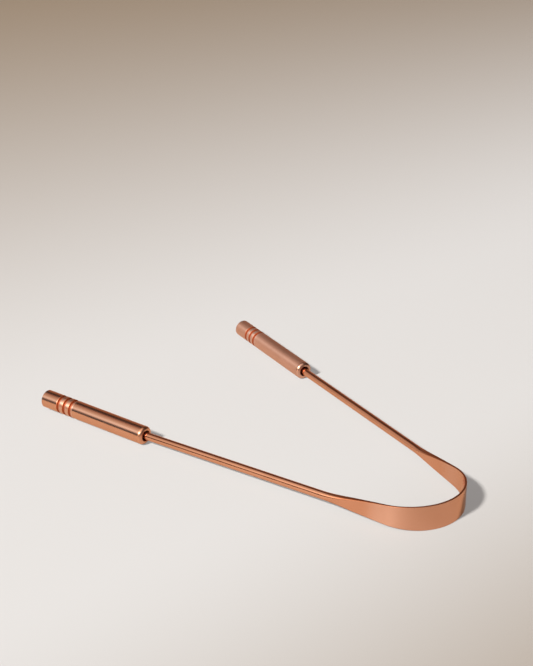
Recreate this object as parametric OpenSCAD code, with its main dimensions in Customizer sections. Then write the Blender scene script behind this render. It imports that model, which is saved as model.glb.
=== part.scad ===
/* [Bow] */
// Radius of the bow, to the middle of the strip
bow_radius = 16.85; // [14:0.05:20]
// Height of the strip at the middle of the bow
blade_height = 8.4; // [7:0.1:10]
// Thickness of the strip at the middle of the bow
blade_thickness = 0.65; // [0.5:0.01:0.9]
// Radius of the strip's softened edges
edge_round = 0.12; // [0.05:0.01:0.24]
// Angle from the centre line at which an arm leaves the bow
arm_splay = 14.2; // [11:0.1:18]

/* [Arms] */
// Length along the strip, from the middle of the bow, at which it starts to narrow
taper_start = 3; // [2:0.05:6]
// Length of strip over which it turns from a flat blade into a round rod
taper_length = 40.4; // [34:0.1:46]
// Diameter of the round rod
rod_d = 2.62; // [2.4:0.01:3]
// Height of the rod's axis where the taper ends
shoulder_height = 3.75; // [3:0.05:4.5]
// Angle of the rod from the centre line
rod_splay = 12.95; // [11:0.05:15]
// Length of rod that shows, from the end of the taper to the handle
rod_length = 68.85; // [50:0.05:90]
// Diameter of the turned-down tip that sits in the handle
tip_d = 2; // [1.6:0.05:2.2]
// Length of the turned-down tip
tip_length = 12; // [8:0.5:20]

/* [Handles] */
// Diameter of a handle
handle_d = 6.3; // [5.6:0.05:8]
// Length of a handle
handle_length = 45.5; // [38:0.1:60]
// Angle of a handle from the centre line
handle_splay = 11.55; // [9:0.05:14]
// Angle at which a handle rises towards its far end
handle_rise = 0.95; // [0:0.05:2]
// Radius of the rounded shoulder at the handle's mouth
mouth_round = 1.05; // [0.6:0.05:1.1]
// Bevel round the handle's far end
end_bevel = 0.25; // [0.1:0.05:0.5]
// Diameter of the wide mouth that the rod goes into
socket_d = 3.7; // [3.4:0.05:4]
// Depth of that mouth
socket_depth = 3; // [2:0.1:5]

/* [Grooves] */
// Number of grooves near a handle's far end
groove_count = 3; // [1:1:4]
// Distance from the far end to the middle of the first groove
first_groove = 7.85; // [5:0.05:12]
// Distance between the middles of two grooves
groove_pitch = 2.75; // [2:0.05:4]
// Width of a groove, with its rounded lips
groove_width = 1.5; // [1.2:0.05:1.9]
// Depth of a groove
groove_depth = 0.56; // [0.3:0.02:0.6]
// Radius of a groove's lips
lip_round = 0.4; // [0.2:0.05:0.45]

/* [Fits] */
// Saw cut that parts an arm from the bow where the strip bends
flex_gap = 0.12; // [0.1:0.01:0.3]
// Gap all round the tip in its bore
tip_gap = 0.02; // [0.01:0.01:0.1]
// Gap between the end of the rod and the floor of the handle's mouth
seat_gap = 0.1; // [0.08:0.01:0.4]

/* [Hidden] */

// Share of the taper in which the narrowing gathers pace, and share in which it eases off
ease_share = 0.58;
settle_share = 0.22;
// How much later than its height the strip's thickness and its corners grow, as powers
thickness_power = 2.4;
corner_power = 6;
// Share of the bow, from its middle, at which the strip bends
flex_share = 0.5;
// Step by which the taper's end stands proud of the rod
shoulder_step = 0.03;
// Length by which joined solids lap into each other
lap = 0.4;
// Length by which a cut runs past the face that it opens
overrun = 1;
// Rings along half of the bow, rings along an arm, points round a quarter of a ring
bow_rings = 14;
arm_rings = 36;
corner_points = 6;
corner_step = 90 / corner_points;
// Steps in each arc of a groove, and round the rounded mouth
groove_steps = 4;
round_points = 8;
$fn = 64;

// Length of the strip from the middle of the bow to where the arm leaves it
arc_angle = 90 - arm_splay;
arc_length = bow_radius * arc_angle * PI / 180;
flex_length = arc_length * flex_share;
taper_end = taper_start + taper_length;

// Turn of the strip, and its place in plan, at a signed length s from the middle
function turn(s) = sign(s) * min(abs(s), arc_length) / bow_radius * 180 / PI;
function past_arc(s) = s - sign(s) * min(abs(s), arc_length);
function plan(s) =
    [bow_radius * sin(turn(s)) + past_arc(s) * cos(turn(s)),
     bow_radius * (1 - cos(turn(s))) + past_arc(s) * sin(turn(s))];

// Share of the way from flat blade to round rod, starting and ending gently
function along_taper(s) = min(1, max(0, (abs(s) - taper_start) / taper_length));
function ease(k) =
    let (pace = 1 / (1 - ease_share / 2 - settle_share / 2))
    k < ease_share ? pace * k * k / (2 * ease_share)
    : k < 1 - settle_share ? pace * (k - ease_share / 2)
    : 1 - pace * (1 - k) * (1 - k) / (2 * settle_share);
function rodness(s) = ease(along_taper(s));
function between(a, b, share) = a + (b - a) * share;

// Height, thickness, corner radius and middle height of the strip at s
function strip_h(s) = between(blade_height, rod_d, rodness(s));
function strip_t(s) = between(blade_thickness, rod_d, pow(rodness(s), thickness_power));
function strip_r(s) = between(edge_round, rod_d / 2, pow(rodness(s), corner_power));
function strip_z(s) = between(blade_height / 2, shoulder_height, rodness(s));

// Corner arcs of one section, counter-clockwise as seen along the strip.
// The arcs are drawn round the true radius, so the flats lie at the full size.
function ring(s, grow = 0) =
    let (h = strip_h(s) / 2 + grow,
         t = strip_t(s) / 2 + grow,
         r = strip_r(s) + grow,
         place = plan(s),
         out = [sin(turn(s)), -cos(turn(s))])
    [for (q = [0:3], i = [0:corner_points - 1])
        let (a = q * 90 + (i + 0.5) * corner_step,
             side = (q == 0 || q == 3) ? 1 : -1,
             up = q < 2 ? 1 : -1,
             w = side * (t - r) + r * cos(a) / cos(corner_step / 2),
             v = up * (h - r) + r * sin(a) / cos(corner_step / 2))
        [place.x + out.x * w, place.y + out.y * w, strip_z(s) + v]];

// Solid through a list of rings
module loft(rings) {
    n = len(rings[0]);
    last = len(rings) - 1;
    sides = [for (j = [0:last - 1], i = [0:n - 1], half = [0, 1])
        let (a = j * n + i, b = j * n + (i + 1) % n)
        half == 0 ? [a, b, a + n] : [b, b + n, a + n]];
    polyhedron(
        points = [for (r = rings) each r],
        faces = concat(sides, [[for (i = [n - 1:-1:0]) i], [for (i = [0:n - 1]) last * n + i]]));
}

// Where the rod starts, where the handle's mouth and far end are, and where the rod ends
mouth_height = handle_d / 2 * cos(handle_rise) - mouth_round * sin(handle_rise);
shoulder = [plan(taper_end).x, plan(taper_end).y, shoulder_height];
mouth = [shoulder.x + rod_length * sin(rod_splay), shoulder.y + rod_length * cos(rod_splay), mouth_height];
handle_way =
    [sin(handle_splay) * cos(handle_rise), cos(handle_splay) * cos(handle_rise), sin(handle_rise)];
far_end = mouth + handle_length * handle_way;
seat = mouth + (socket_depth - seat_gap) * handle_way;
tip_end = seat + tip_length * handle_way;
rod_way = (seat - shoulder) / norm(seat - shoulder);
bore_d = tip_d + 2 * tip_gap;
bore_depth = socket_depth + tip_length + seat_gap;

// Steepest slope of a groove's sides, and radius of its round bottom
wall_angle = 2 * atan(2 * groove_depth / groove_width);
bottom_round = groove_depth / (1 - cos(wall_angle)) - lip_round;

// Puts what is drawn along +Z at a point, pointing to another point
module from_to(a, b) {
    v = b - a;
    translate(a) rotate([0, acos(v.z / norm(v)), atan2(v.y, v.x)]) children();
}

// Solid round bar from one point to another
module bar(a, b, d) {
    from_to(a, b) cylinder(h = norm(b - a), d = d);
}

// The flattened blade in the middle of the forged strip
module scraper_bow() {
    reach = flex_length - flex_gap / 2;
    color("#c9774f") loft([for (j = [-bow_rings:bow_rings]) ring(j / bow_rings * reach)]);
}

// One side of the forged strip, from the bending place to the tip inside the handle.
// The taper ends in a short collar, and the rod comes out of its flat end.
module arm() {
    start = flex_length + flex_gap / 2;
    stations = [for (j = [0:arm_rings]) between(start, taper_end, j / arm_rings)];
    color("#b9663f") union() {
        loft([for (s = concat(stations, taper_end + lap)) ring(s, shoulder_step * rodness(s))]);
        bar(shoulder + lap / 2 * rod_way, seat, rod_d);
        bar(seat - lap * handle_way, tip_end, tip_d);
    }
}

// Outline of one groove: an arc over its lip, an arc round its bottom, and an arc over its other lip
function groove_lip(side, middle, a) =
    [handle_d / 2 - lip_round * (1 - cos(a)), middle + side * (groove_width / 2 - lip_round * sin(a))];
function groove_bottom(middle, a) =
    [handle_d / 2 - groove_depth + bottom_round * (1 - cos(a)), middle + bottom_round * sin(a)];
function groove_profile(middle) =
    concat(
        [for (i = [0:groove_steps - 1]) groove_lip(-1, middle, wall_angle * i / groove_steps)],
        [for (i = [-groove_steps:groove_steps]) groove_bottom(middle, wall_angle * i / groove_steps)],
        [for (i = [groove_steps - 1:-1:0]) groove_lip(1, middle, wall_angle * i / groove_steps)]);

// Outline of a handle, radius against length from the mouth
function handle_outline() =
    concat(
        [[0, 0]],
        [for (i = [0:round_points])
            let (a = 90 * i / round_points)
            [handle_d / 2 - mouth_round * (1 - sin(a)), mouth_round * (1 - cos(a))]],
        [for (g = [groove_count - 1:-1:0])
            each groove_profile(handle_length - first_groove - g * groove_pitch)],
        [[handle_d / 2, handle_length - end_bevel], [handle_d / 2 - end_bevel, handle_length], [0, handle_length]]);

// One turned handle, drilled to take the end of the rod
module handle() {
    color("#c47a56") from_to(mouth, far_end) difference() {
        rotate_extrude() polygon(handle_outline());
        translate([0, 0, -overrun]) cylinder(h = socket_depth + overrun, d = socket_d);
        cylinder(h = bore_depth, d = bore_d);
    }
}

module right_arm() { arm(); }
module left_arm() { mirror([1, 0, 0]) arm(); }
module right_handle() { handle(); }
module left_handle() { mirror([1, 0, 0]) handle(); }

scraper_bow();
left_arm();
right_arm();
left_handle();
right_handle();
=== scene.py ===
import math

import bmesh
import bpy
from mathutils import Euler, Matrix, Vector


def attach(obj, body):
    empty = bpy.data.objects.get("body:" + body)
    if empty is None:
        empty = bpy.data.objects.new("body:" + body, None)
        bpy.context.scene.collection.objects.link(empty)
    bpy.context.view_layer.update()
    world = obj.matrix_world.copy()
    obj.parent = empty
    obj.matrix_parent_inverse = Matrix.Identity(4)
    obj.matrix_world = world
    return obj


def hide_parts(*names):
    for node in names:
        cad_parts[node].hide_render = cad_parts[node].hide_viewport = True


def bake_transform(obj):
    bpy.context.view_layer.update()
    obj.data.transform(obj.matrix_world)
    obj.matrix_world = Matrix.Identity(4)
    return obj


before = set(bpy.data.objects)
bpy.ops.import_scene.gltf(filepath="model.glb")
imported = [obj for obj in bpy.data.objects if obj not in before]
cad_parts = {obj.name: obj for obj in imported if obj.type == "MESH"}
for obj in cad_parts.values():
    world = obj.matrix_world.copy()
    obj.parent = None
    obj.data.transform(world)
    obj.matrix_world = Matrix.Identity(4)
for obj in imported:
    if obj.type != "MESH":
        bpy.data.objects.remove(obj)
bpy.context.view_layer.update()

# The strip is one length of copper, forged flat round the bow, drawn out through a taper into a
# round rod at each end, and turned down to a tip that sits in a handle. It is modelled as two
# halves that meet in the middle of the bow.
mm = 0.001
bow_radius = 16.85 * mm
blade_height = 8.4 * mm
blade_thickness = 0.65 * mm
edge_round = 0.12 * mm
arm_splay = math.radians(14.2)
taper_start = 3 * mm
taper_length = 40.4 * mm
ease_share = 0.58
settle_share = 0.22
thickness_power = 2.4
corner_power = 6
rod_d = 2.62 * mm
shoulder_height = 3.75 * mm
rod_splay = math.radians(12.95)
rod_length = 68.85 * mm
tip_d = 2 * mm
tip_length = 12 * mm
arc_length = bow_radius * (math.pi / 2 - arm_splay)
taper_end = taper_start + taper_length


def between(a, b, share):
    return a + (b - a) * share


def strip_place(s):
    """Middle of the strip in plan at a length s from the middle of the bow, and its turn there."""
    turn = min(s, arc_length) / bow_radius
    straight = max(0, s - arc_length)
    x = bow_radius * math.sin(turn) + straight * math.cos(turn)
    y = bow_radius * (1 - math.cos(turn)) + straight * math.sin(turn)
    return Vector((x, y, 0)), turn


def rounded_ring(middle, out, up, half_w, half_h, corner, evenness):
    """Points once round a rounded oblong. Evenness 1 spaces them evenly, as suits a circle."""
    corner_points = 7
    ring = []
    for quarter in range(4):
        side = 1 if quarter in (0, 3) else -1
        top = 1 if quarter < 2 else -1
        for i in range(corner_points + 1):
            share = between(i / corner_points, (i + 0.5) / (corner_points + 1), evenness)
            angle = (quarter + share) * math.pi / 2
            w = side * (half_w - corner) + corner * math.cos(angle)
            h = top * (half_h - corner) + corner * math.sin(angle)
            ring.append(middle + out * w + up * h)
    return ring


def strip_ring(s):
    """Section of the strip at a length s from the middle of the bow, from flat blade to rod."""
    k = min(1, max(0, (s - taper_start) / taper_length))
    pace = 1 / (1 - ease_share / 2 - settle_share / 2)
    if k < ease_share:
        rod = pace * k * k / (2 * ease_share)
    elif k < 1 - settle_share:
        rod = pace * (k - ease_share / 2)
    else:
        rod = 1 - pace * (1 - k) ** 2 / (2 * settle_share)
    half_h = between(blade_height, rod_d, rod) / 2
    half_w = between(blade_thickness, rod_d, rod**thickness_power) / 2
    corner = between(edge_round, rod_d / 2, rod**corner_power)
    place, turn = strip_place(s)
    up = Vector((0, 0, 1))
    middle = place + up * between(blade_height / 2, shoulder_height, rod)
    out = Vector((math.sin(turn), -math.cos(turn), 0))
    return rounded_ring(middle, out, up, half_w, half_h, corner, rod)


def rod_ring(middle, way, radius):
    out = way.cross(Vector((0, 0, 1))).normalized()
    return rounded_ring(middle, out, out.cross(way), radius, radius, radius, 1)


def skin(name, rings, sharp):
    """Closed mesh through rings of points. Rings whose number is in sharp keep a hard edge.
    Its map "grain" holds the length along the piece and the way round it, in metres."""
    shape = bmesh.new()
    grain = shape.loops.layers.uv.new("grain")
    corners = [[shape.verts.new(point) for point in ring] for ring in rings]
    count = len(rings[0])
    along = [0]
    around = []
    for ring in rings:
        steps = [(ring[(i + 1) % count] - ring[i]).length for i in range(count)]
        around.append([sum(steps[:i]) for i in range(count + 1)])
    for here, there in zip(rings, rings[1:]):
        along.append(along[-1] + sum((b - a).length for a, b in zip(here, there)) / count)
    for j in range(len(rings) - 1):
        for i in range(count):
            n = (i + 1) % count
            face = shape.faces.new((corners[j][i], corners[j][n], corners[j + 1][n], corners[j + 1][i]))
            face.smooth = True
            spots = ((j, i), (j, i + 1), (j + 1, i + 1), (j + 1, i))
            for loop, (ring, step) in zip(face.loops, spots):
                loop[grain].uv = (along[ring], around[ring][step])
    for end in (corners[0], corners[-1]):
        cap = shape.faces.new(end)
        for edge in cap.edges:
            edge.smooth = False
    for j in sharp:
        for i in range(count):
            shape.edges.get((corners[j][i], corners[j][(i + 1) % count])).smooth = False
    bmesh.ops.recalc_face_normals(shape, faces=shape.faces)
    mesh = bpy.data.meshes.new(name)
    shape.to_mesh(mesh)
    shape.free()
    piece = bpy.data.objects.new(name, mesh)
    bpy.context.scene.collection.objects.link(piece)
    large_faces_lead = 100
    even = piece.modifiers.new("even", "WEIGHTED_NORMAL")
    even.keep_sharp = True
    even.weight = large_faces_lead
    bpy.context.view_layer.update()
    settled = piece.evaluated_get(bpy.context.evaluated_depsgraph_get())
    piece.data = bpy.data.meshes.new_from_object(settled)
    piece.modifiers.clear()
    # The paper does not pick up the copper's glow.
    piece.visible_diffuse = False
    return piece


class Signal:
    """One output of a node. Sums written with it add their Math nodes."""

    def __init__(self, tree, socket=None):
        self.tree = tree
        self.socket = socket

    def node(self, kind, settings=None, sockets=None, output=0):
        """Adds a node, sets its settings, then the values or links of its sockets."""
        made = self.tree.nodes.new(kind)
        for name, value in (settings or {}).items():
            setattr(made, name, value)
        for name, value in (sockets or {}).items():
            if isinstance(value, Signal):
                self.tree.links.new(value.socket, made.inputs[name])
            else:
                made.inputs[name].default_value = value
        return Signal(self.tree, made.outputs[output] if made.outputs else None)

    def maths(self, operation, *values):
        return self.node("ShaderNodeMath", {"operation": operation}, dict(enumerate(values)))

    def __add__(self, other):
        return self.maths("ADD", self, other)

    def __sub__(self, other):
        return self.maths("SUBTRACT", self, other)

    def __rsub__(self, other):
        return self.maths("SUBTRACT", other, self)

    def __mul__(self, other):
        return self.maths("MULTIPLY", self, other)

    def __truediv__(self, other):
        return self.maths("DIVIDE", self, other)

    def __rtruediv__(self, other):
        return self.maths("DIVIDE", other, self)

    __radd__ = __add__
    __rmul__ = __mul__

    def eased(self, low, high, at_low=0, at_high=1):
        """Goes from at_low to at_high, smoothly, as this value goes from low to high."""
        sockets = {"Value": self, "From Min": low, "From Max": high}
        sockets.update({"To Min": at_low, "To Max": at_high})
        return self.node("ShaderNodeMapRange", {"interpolation_type": "SMOOTHSTEP"}, sockets)

    def mixed(self, first, second):
        """The colour that lies this share of the way from first to second."""
        sockets = {"Factor": self, "A": first, "B": second}
        return self.node("ShaderNodeMix", {"data_type": "RGBA"}, sockets, output="Result")


def start(owner):
    """Empties the nodes of a material or world, and starts a new tree in it."""
    owner.use_nodes = True
    owner.node_tree.nodes.clear()
    return Signal(owner.node_tree)


def copper(tree, light, deep, grain_size, satin, streak_share, painted_shade, painted_shade_colour):
    """Satin copper, rubbed with fine abrasive in lines of the given length and width on the grain
    map. The lines scatter light across themselves as a pale streak. Where painted shade is asked
    for, the colour turns towards the given painted shade colour and the metal is rougher."""
    place = tree.node("ShaderNodeUVMap", {"uv_map": "grain"})
    line_length, line_width = grain_size
    stretch = (1 / line_length, 1 / line_width, 1)
    line_detail = 3
    lines_at = tree.node("ShaderNodeMapping", {}, {"Vector": place, "Scale": stretch})
    lines = {"Vector": lines_at, "Scale": 1, "Detail": line_detail}
    lines = tree.node("ShaderNodeTexNoise", {}, lines)
    cloud_size = 9 * mm
    cloud_detail = 2
    body = tree.node("ShaderNodeTexCoord", output="Object")
    clouds = {"Vector": body, "Scale": 1 / cloud_size, "Detail": cloud_detail}
    clouds = tree.node("ShaderNodeTexNoise", {}, clouds)
    cloud_share = 0.6
    line_share = 0.4
    deepest, lightest = 0.3, 0.7
    rubbed_colour = (clouds * cloud_share + lines * line_share).eased(deepest, lightest)
    rubbed_colour = rubbed_colour.mixed(deep, light)
    edge_tint = (0.90, 0.68, 0.54, 1)
    line_strength = 0.25
    line_depth = 0.004 * mm
    rubbed = {"Height": lines, "Strength": line_strength, "Distance": line_depth}
    cloud_satin = 0.06
    line_satin = 0.05
    painted_shade_satin = 0.28
    metal = tree.node("ShaderNodeBsdfPrincipled", {}, {
        "Base Color": painted_shade.mixed(rubbed_colour, painted_shade_colour),
        "Metallic": 1,
        "Roughness": satin + cloud_satin * clouds + line_satin * lines + painted_shade_satin * painted_shade,
        "Specular Tint": edge_tint,
        "Normal": tree.node("ShaderNodeBump", {}, rubbed),
    })
    pale = (0.90, 0.80, 0.70, 1)
    streak_satin = 0.51
    streak_spread = 0.74
    across_lines = 0.25
    streak = tree.node("ShaderNodeBsdfPrincipled", {}, {
        "Base Color": pale,
        "Metallic": 1,
        "Roughness": streak_satin,
        "Anisotropic": streak_spread,
        "Anisotropic Rotation": across_lines,
    })
    both = tree.node("ShaderNodeMixShader", {}, {0: (1 - painted_shade) * streak_share, 1: metal, 2: streak})
    tree.node("ShaderNodeOutputMaterial", {}, {"Surface": both})


# The rod ends in its handle, so the handle's size and place settle where it goes.
handle_d = 6.3 * mm
handle_length = 45.5 * mm
handle_splay = math.radians(11.55)
handle_rise = math.radians(0.95)
mouth_round = 1.05 * mm
socket_depth = 3 * mm
seat_gap = 0.1 * mm
shoulder = strip_place(taper_end)[0] + Vector((0, 0, shoulder_height))
mouth_height = handle_d / 2 * math.cos(handle_rise) - mouth_round * math.sin(handle_rise)
rod_reach = Vector((math.sin(rod_splay), math.cos(rod_splay), 0)) * rod_length
mouth = Vector((shoulder.x + rod_reach.x, shoulder.y + rod_reach.y, mouth_height))
handle_way = Vector((
    math.sin(handle_splay) * math.cos(handle_rise),
    math.cos(handle_splay) * math.cos(handle_rise),
    math.sin(handle_rise),
))
seat = mouth + handle_way * (socket_depth - seat_gap)
rod_way = (seat - shoulder).normalized()

first_station = 0.02 * mm
strip_stations = 110
rod_stations = 36
rod_start = 0.6 * mm
rings = [strip_ring(0), strip_ring(first_station)]
rings += [strip_ring(taper_end * i / strip_stations) for i in range(1, strip_stations + 1)]
rod_run = (seat - shoulder).length
for i in range(rod_stations + 1):
    reach = between(rod_start, rod_run, i / rod_stations)
    rings.append(rod_ring(shoulder + rod_way * reach, rod_way, rod_d / 2))
tip_edges = (len(rings) - 1, len(rings))
rings.append(rod_ring(seat, handle_way, tip_d / 2))
rings.append(rod_ring(seat + handle_way * tip_length, handle_way, tip_d / 2))

strip_light = (0.73, 0.315, 0.172, 1)
strip_deep = (0.67, 0.28, 0.146, 1)
# Painted shade: the blade's top and bottom edges and the outside of the taper turn towards this brown.
painted_shade_brown = (0.36, 0.115, 0.05, 1)
strip_satin = 0.135
strip_lines = (5 * mm, 0.07 * mm)
strip_streak = 0.07
streak_fades = (24 * mm, 30 * mm)
flank, rim = 0.3, 0.6
edge_fades = (taper_end * 0.8, taper_end)
# The outside of the taper gets painted shade: its colour turns a little towards the brown and
# it is rougher. A face there points away from the middle line, on whichever side of it the arm is.
taper_painted_shade = 0.18
taper_shade_rises = (22 * mm, 30 * mm)
taper_shade_fades = (38 * mm, taper_end)
outer_side = 10 * mm
strip_copper = bpy.data.materials.new("strip_copper")
tree = start(strip_copper)
along = tree.node("ShaderNodeUVMap", {"uv_map": "grain"})
along = tree.node("ShaderNodeSeparateXYZ", {}, {"Vector": along}, "X")
facing = tree.node("ShaderNodeTexCoord", output="Normal")
facing = tree.node("ShaderNodeSeparateXYZ", {}, {"Vector": facing}, "Z")
# Painted shade on the blade's top and bottom edges, where the surface faces up or down; it fades out
# along the taper.
edges = facing.maths("ABSOLUTE", facing).eased(flank, rim) * along.eased(*edge_fades, 1, 0)
sideways = tree.node("ShaderNodeTexCoord", output="Normal")
sideways = tree.node("ShaderNodeSeparateXYZ", {}, {"Vector": sideways}, "X")
across = tree.node("ShaderNodeTexCoord", output="Object")
across = tree.node("ShaderNodeSeparateXYZ", {}, {"Vector": across}, "X")
outer = (sideways * across).eased(0, outer_side)
taper = along.eased(*taper_shade_rises) * along.eased(*taper_shade_fades, 1, 0)
painted_shade = edges.maths("MAXIMUM", edges, taper_painted_shade * outer * taper)
copper(tree, strip_light, strip_deep, strip_lines, strip_satin,
       streak_share=along.eased(*streak_fades, strip_streak, 0), painted_shade=painted_shade, painted_shade_colour=painted_shade_brown)
for side_name, side in (("left", -1), ("right", 1)):
    own_rings = [[Vector((side * p.x, p.y, p.z)) for p in ring] for ring in rings]
    half = skin(f"{side_name}_half_of_strip", own_rings, tip_edges)
    half.data.materials.append(strip_copper)
    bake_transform(half)
    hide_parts("scraper_bow", f"{side_name}_arm")

# Each handle is turned from round copper bar, with a rounded shoulder and a wide mouth at the
# rod's end and three finger grooves near its far end. It is drilled along its axis, and the rod's
# tip is pressed into it.
end_bevel = 0.25 * mm
socket_d = 3.7 * mm
mouth_break = 0.06 * mm
bore_d = 2.04 * mm
bore_depth = 15.1 * mm
groove_count = 3
first_groove = 7.85 * mm
groove_pitch = 2.75 * mm
groove_width = 1.5 * mm
groove_depth = 0.56 * mm
lip_round = 0.4 * mm
wall_angle = 2 * math.atan(2 * groove_depth / groove_width)
bottom_round = groove_depth / (1 - math.cos(wall_angle)) - lip_round
round_points = 12
groove_steps = 8
plain_step = 1 * mm
around_points = 96

profile = [(bore_d / 2, bore_depth), (bore_d / 2, socket_depth), (socket_d / 2, socket_depth)]
profile += [(socket_d / 2, mouth_break), (socket_d / 2 + mouth_break, 0)]
for i in range(round_points + 1):
    angle = math.pi / 2 * i / round_points
    radius = handle_d / 2 - mouth_round * (1 - math.sin(angle))
    profile.append((radius, mouth_round * (1 - math.cos(angle))))
last_middle = handle_length - first_groove
groove_middles = [last_middle - groove_pitch * g for g in reversed(range(groove_count))]
plain_length = groove_middles[0] - groove_width / 2 - mouth_round
plain_steps = round(plain_length / plain_step)
for i in range(1, plain_steps):
    profile.append((handle_d / 2, mouth_round + plain_length * i / plain_steps))
for middle in groove_middles:
    for i in range(-2 * groove_steps, 2 * groove_steps + 1):
        side = -1 if i < 0 else 1
        if abs(i) <= groove_steps:
            angle = wall_angle * abs(i) / groove_steps
            depth = groove_depth - bottom_round * (1 - math.cos(angle))
            off_middle = bottom_round * math.sin(angle)
        else:
            angle = wall_angle * (2 - abs(i) / groove_steps)
            depth = lip_round * (1 - math.cos(angle))
            off_middle = groove_width / 2 - lip_round * math.sin(angle)
        profile.append((handle_d / 2 - depth, middle + side * off_middle))
grooves_end = profile[-1][1]
end_plain = handle_length - end_bevel - grooves_end
end_steps = round(end_plain / plain_step)
for i in range(1, end_steps + 1):
    profile.append((handle_d / 2, grooves_end + end_plain * i / end_steps))
bevel_start = len(profile) - 1
profile.append((handle_d / 2 - end_bevel, handle_length))
mouth_corners = (1, 2, 3, 4, 5)
hard_edges = (*mouth_corners, bevel_start, bevel_start + 1)


def turned_ring(radius, along):
    """Circle of points round a handle's own axis, which runs up from its mouth."""
    angles = [2 * math.pi * i / around_points for i in range(around_points)]
    return [Vector((math.cos(angle) * radius, math.sin(angle) * radius, along)) for angle in angles]


shoulder_satin = 0.26
shoulder_end = mouth_round * 1.6
turning_lines = (0.07 * mm, 5 * mm)
handle_streak = 0.05
band_streak = 0.1
band_satin = 0.3
# Painted shade: a darker, redder colour in the grooves' bottoms and the drilled mouth.
painted_groove_shade = (0.45, 0.11, 0.04, 1)
red_starts = 0.58 * mm
red_shift = 0.13 * mm
red_blur = 0.1 * mm
# Lighter and deeper colour of the rubbed metal, and how satin it is. The right one is duller,
# and its paler, whiter colour is painted sheen.
left_finish = ((0.71, 0.29, 0.144, 1), (0.65, 0.26, 0.125, 1), 0.12)
right_finish_and_painted_sheen = ((0.68, 0.335, 0.215, 1), (0.60, 0.285, 0.175, 1), 0.42)


def turned_copper(name, finish):
    """Copper rubbed in rings as the handle turned. The shoulder at the mouth and the grooved band
    have a satin of their own, alike on both handles. The grooves' bottoms and the drilled mouth
    get painted shade: a darker, redder colour and a rougher surface."""
    material = bpy.data.materials.new(name)
    tree = start(material)
    place = tree.node("ShaderNodeTexCoord", output="Object")
    height = tree.node("ShaderNodeSeparateXYZ", {}, {"Vector": place}, "Z")
    off_axis = tree.node("ShaderNodeVectorMath", {"operation": "MULTIPLY"}, {0: place, 1: (1, 1, 0)})
    radius = tree.node("ShaderNodeVectorMath", {"operation": "LENGTH"}, {0: off_axis}, "Value")
    # Painted shade in the drilled mouth and the grooves' bottoms, shifted a little towards the far end.
    in_mouth = radius.eased(socket_d / 2, socket_d / 2 + red_blur, 1, 0)
    in_mouth = in_mouth * height.eased(bore_depth, bore_depth + groove_width, 1, 0)
    to_groove = height - (groove_middles[0] + red_shift)
    to_groove = to_groove.maths("PINGPONG", to_groove, groove_pitch / 2)
    band_start = groove_middles[0] - groove_width
    band_end = groove_middles[-1] + groove_width / 2
    in_band = height.eased(band_start, band_start + lip_round)
    in_band = in_band * height.eased(band_end, band_end + red_blur, 1, 0)
    in_groove = in_band * to_groove.eased(red_starts - red_blur, red_starts, 1, 0)
    painted_shade = in_mouth.maths("MAXIMUM", in_mouth, in_groove)
    light, deep, satin = finish
    satin = height.eased(mouth_round, shoulder_end, shoulder_satin, satin)
    satin = satin.maths("MAXIMUM", satin, in_band * band_satin)
    copper(tree, light, deep, turning_lines, satin,
           streak_share=handle_streak + band_streak * in_band, painted_shade=painted_shade, painted_shade_colour=painted_groove_shade)
    return material


for side_name, side, finish in (("left", -1, left_finish), ("right", 1, right_finish_and_painted_sheen)):
    own_mouth = Vector((side * mouth.x, mouth.y, mouth.z))
    own_way = Vector((side * handle_way.x, handle_way.y, handle_way.z))
    own_rings = [turned_ring(radius, along) for radius, along in profile]
    grip = skin(f"{side_name}_grip", own_rings, hard_edges)
    grip.matrix_world = Matrix.LocRotScale(own_mouth, own_way.to_track_quat("Z", "Y"), None)
    grip.data.materials.append(turned_copper(f"{side_name}_handle_copper", finish))
    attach(grip, f"{side_name}_side")
    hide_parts(f"{side_name}_handle")

# The camera stands in front of the bow and to its left, half a metre away, and looks down on the
# scraper through a lens a little longer than a normal one.
camera_azimuth = math.radians(-42.883)
camera_elevation = math.radians(23.581)
camera_distance = 498.219 * mm
aim = Vector((55.623, 141.034, 0)) * mm
lens_length = 66.909
nearest = 10 * mm
back = Vector((
    math.sin(camera_azimuth) * math.cos(camera_elevation),
    -math.cos(camera_azimuth) * math.cos(camera_elevation),
    math.sin(camera_elevation),
))
camera = bpy.data.objects.new("camera", bpy.data.cameras.new("camera"))
bpy.context.scene.collection.objects.link(camera)
camera.location = aim + back * camera_distance
camera.rotation_euler = Euler((math.pi / 2 - camera_elevation, 0, camera_azimuth))
camera.data.lens = lens_length
camera.data.clip_start = nearest
bpy.context.scene.camera = camera


def heading(azimuth, elevation=0):
    """Unit vector towards an azimuth, counted from +X towards +Y, and an elevation, in degrees."""
    a = math.radians(azimuth)
    e = math.radians(elevation)
    return Vector((math.cos(a) * math.cos(e), math.sin(a) * math.cos(e), math.sin(e)))


# The floor is a sheet of pale matt paper. Its colour is palest round the scraper, and turns to
# taupe far behind it and, sooner, in front of it, along one line that runs from back to front:
# this taupe is painted shade where the light falls off.
paper = (0.611, 0.589, 0.560, 1)
painted_shade_taupe = (0.184, 0.102, 0.025, 1)
floor_radius = 4
floor_sides = 96
fall_off = heading(-93.3)
back_fade = 344 * mm
back_power = 1.5
front_start = 97 * mm
front_end = 280 * mm
front_share = 0.8
paper_roughness = 0.62
shape = bmesh.new()
bmesh.ops.create_circle(shape, cap_ends=True, segments=floor_sides, radius=floor_radius)
floor_mesh = bpy.data.meshes.new("floor")
shape.to_mesh(floor_mesh)
shape.free()
floor = bpy.data.objects.new("floor", floor_mesh)
bpy.context.scene.collection.objects.link(floor)
floor_paper = bpy.data.materials.new("floor_paper")
tree = start(floor_paper)
spot = tree.node("ShaderNodeNewGeometry", output="Position")
offset = tree.node("ShaderNodeVectorMath", {"operation": "SUBTRACT"}, {0: spot, 1: aim})
forward = {0: offset, 1: fall_off}
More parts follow.
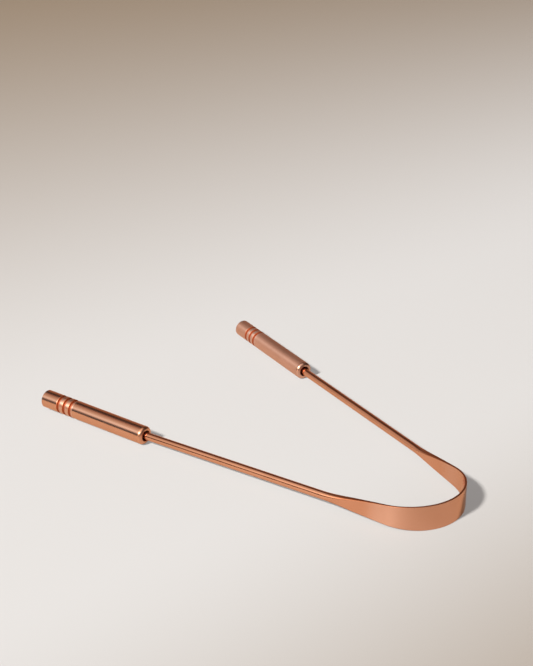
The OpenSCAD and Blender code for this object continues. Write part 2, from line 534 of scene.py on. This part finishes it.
forward = tree.node("ShaderNodeVectorMath", {"operation": "DOT_PRODUCT"}, forward, "Value")
# Painted shade on the floor, behind the scraper and in front of it.
behind = forward.maths("MINIMUM", forward, 0) / -back_fade
painted_shade_behind = 1 - 1 / (1 + behind.maths("POWER", behind, back_power))
painted_shade_in_front = forward.eased(front_start, front_end, 0, front_share)
floor_colour = painted_shade_behind.maths("MAXIMUM", painted_shade_behind, painted_shade_in_front).mixed(paper, painted_shade_taupe)
tree.node("ShaderNodeOutputMaterial", {}, {"Surface": tree.node("ShaderNodeBsdfPrincipled", {}, {
    "Base Color": floor_colour,
    "Roughness": paper_roughness,
})})
floor.data.materials.append(floor_paper)

# One round softbox stands to the left of the camera. Everything else comes from the studio round
# the scraper: a tall white panel on its far left, a pale front on the camera's side, the dim
# backdrop behind, a soft ceiling and faint room light. The camera itself sees only taupe.
key_way = heading(180, 40.6)
key_distance = 8
key_width = 0.96
key_power = 825
key = bpy.data.objects.new("key", bpy.data.lights.new("key", "AREA"))
bpy.context.scene.collection.objects.link(key)
key.data.shape = "DISK"
key.data.size = key_width
key.data.energy = key_power
scraper_middle = Vector((0, 60, 0)) * mm
key.location = scraper_middle + key_way * key_distance
key.rotation_euler = key_way.to_track_quat("Z", "Y").to_euler()

studio = bpy.data.worlds.new("studio")
bpy.context.scene.world = studio
tree = start(studio)
look = tree.node("ShaderNodeTexCoord", output="Generated")


def toward(way):
    """How far the looked-at direction points along a heading, from -1 to 1."""
    return tree.node("ShaderNodeVectorMath", {"operation": "DOT_PRODUCT"}, {0: look, 1: way}, "Value")


room = 0.05
height = toward(Vector((0, 0, 1)))
panel_azimuth = 122
panel_light = 0.65
panel_edge = (0.14, 0.5)
panel_near_end = 0.3
panel_top = (0.5, 0.9)
panel_top_share = 0.75
panel_side = toward(heading(panel_azimuth - 90))
panel_side = panel_side.maths("ABSOLUTE", panel_side)
panel = panel_side.eased(*panel_edge, panel_light, 0)
panel = panel * toward(heading(panel_azimuth)).eased(0, panel_near_end)
panel = panel * height.eased(*panel_top, 1, panel_top_share)
backdrop_azimuth = 47
backdrop_light = 0.4
backdrop_edge = (0.6, 0.92)
backdrop_top = (0.3, 0.75)
backdrop = toward(heading(backdrop_azimuth)).eased(*backdrop_edge)
backdrop = backdrop * height.eased(*backdrop_top, backdrop_light, 0)
front_way = heading(195, 45)
front_light = 0.78
front_edge = (0.35, 0.8)
front_foot = (0.28, 0.42)
front = toward(front_way).eased(*front_edge, 0, front_light) * height.eased(*front_foot)
ceiling_light = 0.5
ceiling_edge = (0.85, 0.97)
ceiling = height.eased(*ceiling_edge, 0, ceiling_light)
light = room + backdrop + ceiling + panel.maths("MAXIMUM", panel, front)
dull, bright = 0.3, 0.8
shade = (1, 0.68, 0.60, 1)
white = (0.97, 1.02, 1.07, 1)
colour = light.eased(dull, bright).mixed(shade, white)
lit = tree.node("ShaderNodeBackground", {}, {"Color": colour, "Strength": light})
seen_taupe = (0.23, 0.175, 0.127, 1)
seen = tree.node("ShaderNodeBackground", {}, {"Color": seen_taupe, "Strength": 1})
camera_ray = tree.node("ShaderNodeLightPath", output="Is Camera Ray")
background = tree.node("ShaderNodeMixShader", {}, {0: camera_ray, 1: lit, 2: seen})
tree.node("ShaderNodeOutputWorld", {}, {"Surface": background})

bpy.context.scene.view_settings.view_transform = "Standard"
